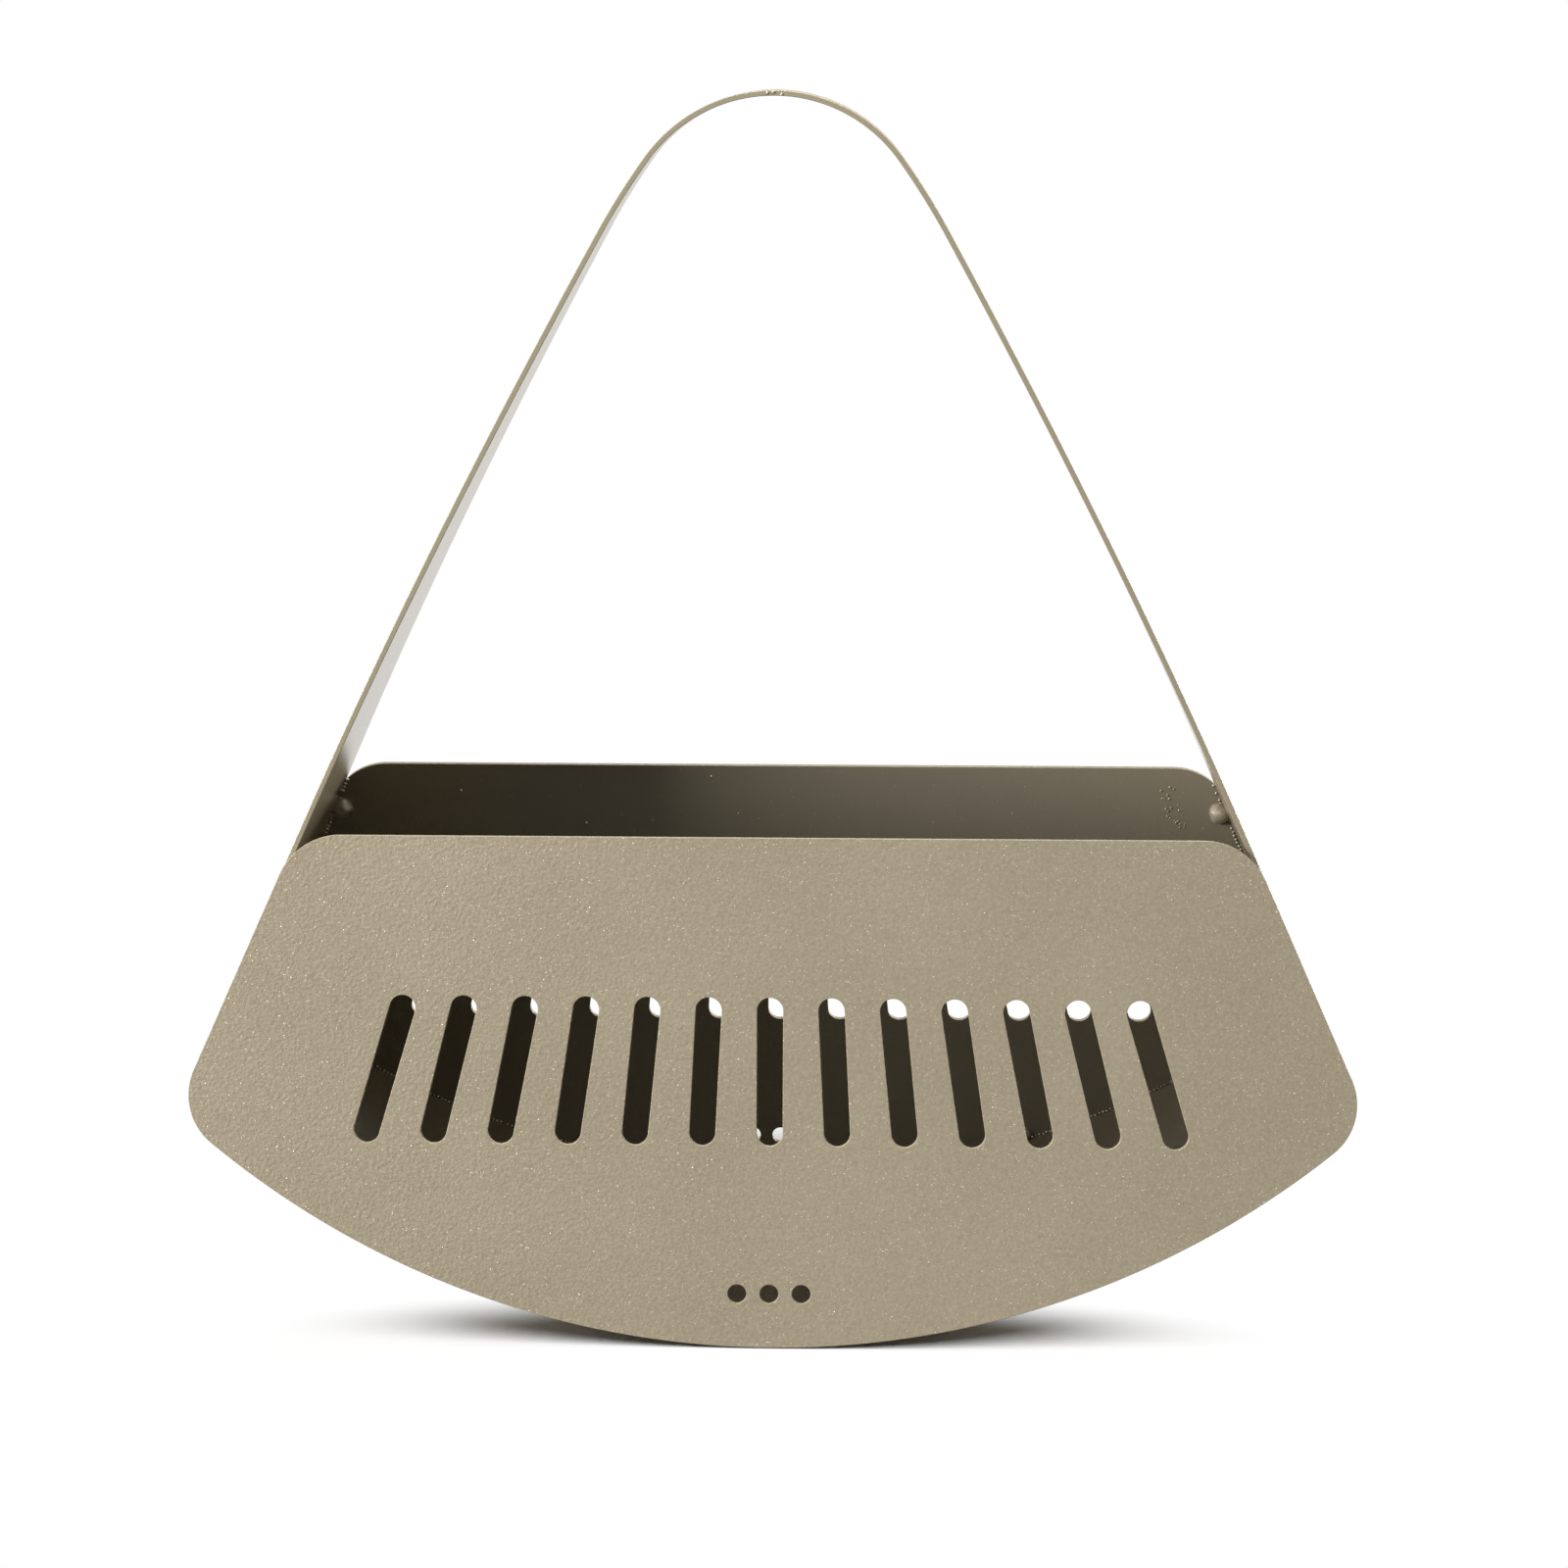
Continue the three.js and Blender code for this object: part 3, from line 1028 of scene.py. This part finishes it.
@dataclass(frozen=True)
class Beads:
    """Small round grains under the coat, spread along lines, over patches or on single points."""

    SEGMENTS = 8
    RINGS = 5

    name: str
    slot: Slot
    smallest: float
    largest: float
    seed: int
    spacing: float = 1.7 * MM
    missing: float = 0.0
    scatter: float = 0.0

    @staticmethod
    def luck(tree: Tree, least: Any, most: Any, seed: Socket) -> Socket:
        """A random number for each grain."""
        draw = {RANDOM_LEAST: least, RANDOM_MOST: most, "Seed": seed}
        return add_node(tree, "FunctionNodeRandomValue", draw, data_type="FLOAT").outputs[RANDOM_NUMBER]

    @classmethod
    def tree(cls) -> Tree:
        """The nodes that set grains along lines, over patches and on lone points, some left out.

        Returns:
            The tree, shared by all the beads.
        """
        floats = ("Smallest", "Largest", "Spacing", "Missing", "Scatter")
        tree, size = new_tree("beads", {"Seed": "Int", "Coat": "Material"} | dict.fromkeys(floats, "Float"))
        guide = size["Guide"]
        seed = size["Seed"]

        # An edge with no face is part of a line, and a point with no neighbour carries a grain of its own
        faces = made(tree, "GeometryNodeInputMeshEdgeNeighbors")
        loose = maths(tree, "LESS_THAN", faces, NONE_BELOW)
        lines = made(tree, "GeometryNodeMeshToCurve", {0: guide, 1: loose})
        steps = {0: lines, "Length": size["Spacing"]}
        along = made(tree, "GeometryNodeCurveToPoints", steps, mode="LENGTH")
        dust = {"Mesh": guide, "Density": marked(tree, "grains_per_area"), "Seed": seed}
        over = made(tree, "GeometryNodeDistributePointsOnFaces", dust)
        neighbours = made(tree, "GeometryNodeInputMeshVertexNeighbors")
        lone = maths(tree, "LESS_THAN", neighbours, NONE_BELOW)
        single = made(tree, "GeometryNodeMeshToPoints", {0: guide, 1: lone})

        points = together(tree, along, over, single)
        gone = maths(tree, "LESS_THAN", cls.luck(tree, 0.0, 1.0, seed), size["Missing"])
        kept = made(tree, "GeometryNodeDeleteGeometry", {0: points, 1: gone}, domain="POINT")
        draw = {"Min": (-1.0, -1.0, -1.0), "Max": (1.0, 1.0, 1.0), "Seed": seed}
        shift = made(tree, "FunctionNodeRandomValue", draw, data_type="FLOAT_VECTOR")
        strewn = moved(tree, kept, Offset=scaled(tree, shift, size["Scatter"]))
        girth = cls.luck(tree, size["Smallest"], size["Largest"], seed)
        shape = {"Radius": 1.0, "Segments": cls.SEGMENTS, "Rings": cls.RINGS}
        ball = made(tree, "GeometryNodeMeshUVSphere", shape)
        end_tree(tree, copies(tree, strewn, ball, Scale=girth), size["Coat"])
        return tree

    def build(
        self,
        tree: Tree,
        coat: Material,
        lines: list[list[Vector]] | None = None,
        patches: list[tuple[list[Vector], float]] | None = None,
        spots: list[Vector] | None = None,
    ) -> Piece:
        """Make the grains as one mesh.

        Args:
            tree: The tree of the beads.
            coat: The coat over them.
            lines: Open lines that carry a row of grains.
            patches: Flat patches by their corners, each with its number of grains to a square metre.
            spots: Places of single grains.

        Returns:
            The finished grains.
        """
        points = list(spots or [])
        edges: list[tuple[int, int]] = []
        faces: list[tuple[int, ...]] = []
        for line in lines or []:
            edges += [(len(points) + i, len(points) + i + 1) for i in range(len(line) - 1)]
            points += line
        for corners, _ in patches or []:
            faces.append(tuple(len(points) + i for i in range(len(corners))))
            points += corners
        piece = new_piece(self.name, points, edges, faces)
        attribute = piece.data.attributes.new("grains_per_area", "FLOAT", "FACE")
        attribute.data.foreach_set("value", [density for _, density in patches or []])
        grow(piece, tree, vars(self) | {"coat": coat})
        freeze(piece)
        hand_over(piece, [])
        return piece


@dataclass(frozen=True)
class DustPatch:
    """A patch of dust under the back panel's inner coat, in metres and in nibs to a square metre."""

    left: float
    right: float
    low: float
    high: float
    density: float
    slip: float = 0.0

    def corners(self, plan: BasketPlan) -> list[Vector]:
        """Lay the patch onto the panel.

        Args:
            plan: The basket's sizes.

        Returns:
            The four corners in turn, the lower ones moved to the right by the slip.
        """
        low = [Vector((x + self.slip, self.low)) for x in (self.left, self.right)]
        high = [Vector((x, self.high)) for x in (self.right, self.left)]
        return [plan.in_room(corner, Panel.BACK, Side.RIGHT) for corner in low + high]


@dataclass(frozen=True)
class CoatGrains:
    """The grains that welding and coating leave: rows of beads, dust under the coat and hook marks."""

    plan: BasketPlan
    seam_beads: Beads = Beads(
        "seam_beads", Slot.COATED_WELD, 0.55 * MM, 0.8 * MM, seed=11, missing=0.1, scatter=0.2 * MM
    )
    seam_start: float = 7 * MM
    strap_clear: float = 0.7 * MM
    band_clear: float = 0.3 * MM
    coat_nibs: Beads = Beads("coat_nibs", Slot.POWDER_COAT, 0.3 * MM, 0.6 * MM, seed=5)
    dust: tuple[DustPatch, ...] = (
        DustPatch(153 * MM, 161 * MM, 162 * MM, 181 * MM, density=170000.0, slip=7 * MM),
        DustPatch(-150 * MM, 150 * MM, 110 * MM, 185 * MM, density=900.0),
    )
    hook_marks: Beads = Beads("hook_marks", Slot.POWDER_COAT, 0.5 * MM, 0.65 * MM, seed=3)
    hook_spots: tuple[tuple[float, float], ...] = (
        (-2.4 * MM, 0.0),
        (-0.2 * MM, 0.3 * MM),
        (2.9 * MM, -0.5 * MM),
    )

    def build(self, coat: Material) -> None:
        """Make the beads along the seams, the dust on the back panel and the marks on the handle.

        Args:
            coat: The powder coat as it lies on a grain.
        """
        plan = self.plan
        tree = Beads.tree()
        corners = list(product(Panel, Side))
        seams = [plan.strap_seam(*corner, self.seam_start, self.strap_clear) for corner in corners]
        seams += [plan.band_seam(*corner, self.band_clear) for corner in corners]
        self.seam_beads.build(tree, coat, lines=seams)
        patches = [(patch.corners(plan), patch.density) for patch in self.dust]
        self.coat_nibs.build(tree, coat, patches=patches)
        top = plan.handle_height - plan.sheet / 2
        edge = -plan.half_room(top) + plan.seam_gap
        spots = [Vector((across, edge, top + up)) for across, up in self.hook_spots]
        self.hook_marks.build(tree, coat, spots=spots)


@dataclass(frozen=True)
class Softbox:
    """A studio lamp behind a white cloth, with its sizes in metres and its power in watts."""

    name: str
    place: Triple
    aim: Triple
    width: float
    height: float
    power: float
    reach: Reach = Reach.BASKET

    def build(self, paper: Piece, basket_floor: Piece) -> None:
        """Hang the lamp out of the camera's sight, with flags that keep its light where it belongs.

        Args:
            paper: The paper underfoot, which a lamp lights alone or not at all.
            basket_floor: The basket's floor, which some lamps don't light.
        """
        lamp = bpy.data.lights.new(self.name, "AREA")
        lamp.shape = "RECTANGLE"
        lamp.size = self.width
        lamp.size_y = self.height
        lamp.energy = self.power
        holder = bpy.data.objects.new(self.name, lamp)
        holder.location = self.place
        way = Vector(self.aim) - Vector(self.place)
        holder.rotation_euler = way.to_track_quat("-Z", "Y").to_euler()
        holder.visible_camera = False
        bpy.context.scene.collection.objects.link(holder)
        flagged = bpy.data.collections.new(f"flags_of_{self.name}")
        flagged.objects.link(paper)
        if self.reach is Reach.OUTSIDE:
            flagged.objects.link(basket_floor)
        for member in flagged.collection_objects:
            member.light_linking.link_state = "INCLUDE" if self.reach is Reach.PAPER else "EXCLUDE"
        holder.light_linking.receiver_collection = flagged


@dataclass(frozen=True)
class Viewpoint:
    """The photograph's standpoint, in metres and degrees, with its focal length in pixels."""

    place: Triple = (0.0317, -1.1, 0.48)
    pitch_down: float = 10.8
    yaw_left: float = 1.47
    focal_px: float = 2970.7
    image_px: float = 1600
    sensor_mm: float = 36
    shift_up: float = -0.12
    nearest: float = 0.01

    def build(self) -> None:
        """Set up the camera and make it the scene's own."""
        camera = bpy.data.cameras.new("photo_camera")
        camera.sensor_width = self.sensor_mm
        camera.lens = self.focal_px * self.sensor_mm / self.image_px
        camera.shift_y = self.shift_up
        camera.clip_start = self.nearest
        stand = bpy.data.objects.new("photo_camera", camera)
        stand.location = self.place
        stand.rotation_euler = (math.radians(90 - self.pitch_down), 0, math.radians(self.yaw_left))
        bpy.context.scene.collection.objects.link(stand)
        bpy.context.scene.camera = stand


@dataclass(frozen=True)
class WhiteRoom:
    """White walls all around: white to look at, dimmer as a light, and dimmest on the camera's side."""

    white: str = "#FFFFFF"
    front_light: float = 0.02
    back_light: float = 0.12
    front_end: float = -0.4
    back_end: float = 0.6

    def build(self) -> None:
        """Make the room the scene's world."""
        world = bpy.data.worlds.new("white_room")
        world.use_nodes = True
        bpy.context.scene.world = world
        tree = world.node_tree
        tree.nodes.clear()
        way = add_node(tree, "ShaderNodeTexCoord").outputs["Generated"]
        light = ramp(
            tree, split(tree, way)["Y"], self.front_end, self.back_end, self.front_light, self.back_light
        )
        strength = made(tree, "ShaderNodeMix", {"Factor": shown(tree), "A": light, "B": 1.0})
        walls = made(tree, "ShaderNodeBackground", {"Color": linear(self.white), "Strength": strength})
        add_node(tree, "ShaderNodeOutputWorld", {"Surface": walls})


@dataclass(frozen=True)
class ShadeZone:
    """An oval of the paper that shows its shade: its middle and its half lengths, in metres."""

    middle: Triple
    reach: Triple

    def distance(self, tree: Tree, place: Socket) -> Socket:
        """How far out a place on the paper lies, 1 on the oval's edge."""
        share = vectors(tree, "DIVIDE", vectors(tree, "SUBTRACT", place, self.middle), self.reach)
        return measure(tree, "LENGTH", share)


@dataclass(frozen=True)
class MattPaper:
    """Uncoated white paper.

    It gives the eye a soft shadow near the basket and plain white further out. It throws less light up at
    the basket than it shows, as paper does that ends just outside the picture.
    """

    name: str = "matt_white_paper"
    lit: str = "#FBFBFB"
    bounce: str = "#707070"
    plain: str = "#FFFFFF"
    shades: tuple[ShadeZone, ...] = (
        ShadeZone((0.0, -0.085, 0.0), (0.145, 0.037, 1.0)),
        ShadeZone((0.0, 0.045, 0.0), (0.1, 0.078, 1.0)),
    )
    fade_start: float = 0.75
    fade_end: float = 1.45

    def build(self) -> Material:
        """Make the material.

        Returns:
            The material, on object coordinates.
        """
        paper, tree = new_finish(self.name)
        place = add_node(tree, "ShaderNodeTexCoord").outputs["Object"]
        away, *others = [shade.distance(tree, place) for shade in self.shades]
        for other in others:
            away = maths(tree, "MINIMUM", away, other)
        seen = shown(tree)
        fade = maths(tree, "MULTIPLY", ramp(tree, away, self.fade_start, self.fade_end, smooth=True), seen)
        tone = blend(tree, seen, linear(self.bounce), linear(self.lit))
        matt = made(tree, "ShaderNodeBsdfDiffuse", {"Color": tone})
        glow = {"Color": linear(self.plain), "Strength": 1.0}
        white = made(tree, "ShaderNodeEmission", glow)
        mix = made(tree, "ShaderNodeMixShader", {0: fade, 1: matt, 2: white})
        add_node(tree, "ShaderNodeOutputMaterial", {"Surface": mix})
        return paper


@dataclass(frozen=True)
class Studio:
    """White paper underfoot, a white room around it, soft lamps and the camera."""

    viewpoint: Viewpoint = Viewpoint()
    room: WhiteRoom = WhiteRoom()
    finish: MattPaper = MattPaper()
    paper_half: float = 4.0
    paper_drop: float = 0.1 * MM
    lamps: tuple[Softbox, ...] = (
        Softbox("key_left", (-3.49, -1.89, 0.8), (0.0, 0.0, 0.12), 1.9, 1.5, 219.0),
        Softbox("overhead", (0.1, -0.2, 2.1), (0.0, 0.0, 0.1), 1.2, 0.8, 46.0, Reach.OUTSIDE),
        Softbox("backdrop_left", (-1.4, 1.0, 0.32), (0.0, 0.0, 0.3), 0.9, 0.4, 12.0),
        Softbox("backdrop_right", (1.4, 1.0, 0.25), (0.0, 0.0, 0.3), 0.9, 0.4, 28.0),
        Softbox("paper_lamp", (0.12, -0.74, 1.5), (0.0, -0.08, 0.0), 1.5, 1.5, 35.0, Reach.PAPER),
    )

    def paper(self) -> Piece:
        """Lay the paper, just clear of the basket.

        Returns:
            The paper.
        """
        half = self.paper_half
        corners = [(-half, -half), (half, -half), (half, half), (-half, half)]
        points = [Vector((x, y, -self.paper_drop)) for x, y in corners]
        floor = new_piece("white_paper", points, [], [(0, 1, 2, 3)])
        floor.data.materials.append(self.finish.build())
        return floor

    def build(self, basket_floor: Piece) -> None:
        """Set up the room, the paper, the lamps and the camera.

        Args:
            basket_floor: The basket's floor, which some lamps don't light.
        """
        bpy.context.scene.view_settings.view_transform = "Standard"
        self.room.build()
        paper = self.paper()
        for lamp in self.lamps:
            lamp.build(paper, basket_floor)
        self.viewpoint.build()


def main() -> None:
    """Build the basket's pieces around the frame and set up the studio."""
    logging.basicConfig(level=logging.INFO, format="%(name)s %(message)s")
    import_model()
    plan = BasketPlan()
    coats = {coat: coat.value.build() for coat in Coat}
    outer = coats[Coat.OUTER]
    # The inner coat carries painted shade: a darker colour for the inside of the basket
    inner = coats[Coat.INNER]
    punch = LeaningPanel.tree()
    for panel in Panel:
        LeaningPanel(plan, panel).build(punch, outer, inner)
    bend = LeaningStrip.tree()
    strap = LeaningStrip(plan, "strap_sheet", "handle_strap", plan.strap_path())
    strap.build(bend, outer, coats[Coat.STRAP])
    # The band's inner face and edges take the inner coat, darker by painted shade
    band = LeaningStrip(plan, "band_sheet", "bottom_band", plan.band_path())
    basket_floor = band.build(bend, outer, inner)
    TackWelds(plan).build(coats[Coat.WELD])
    CoatGrains(plan).build(coats[Coat.GRAIN])
    Studio().build(basket_floor)


if __name__ == "__main__":
    main()
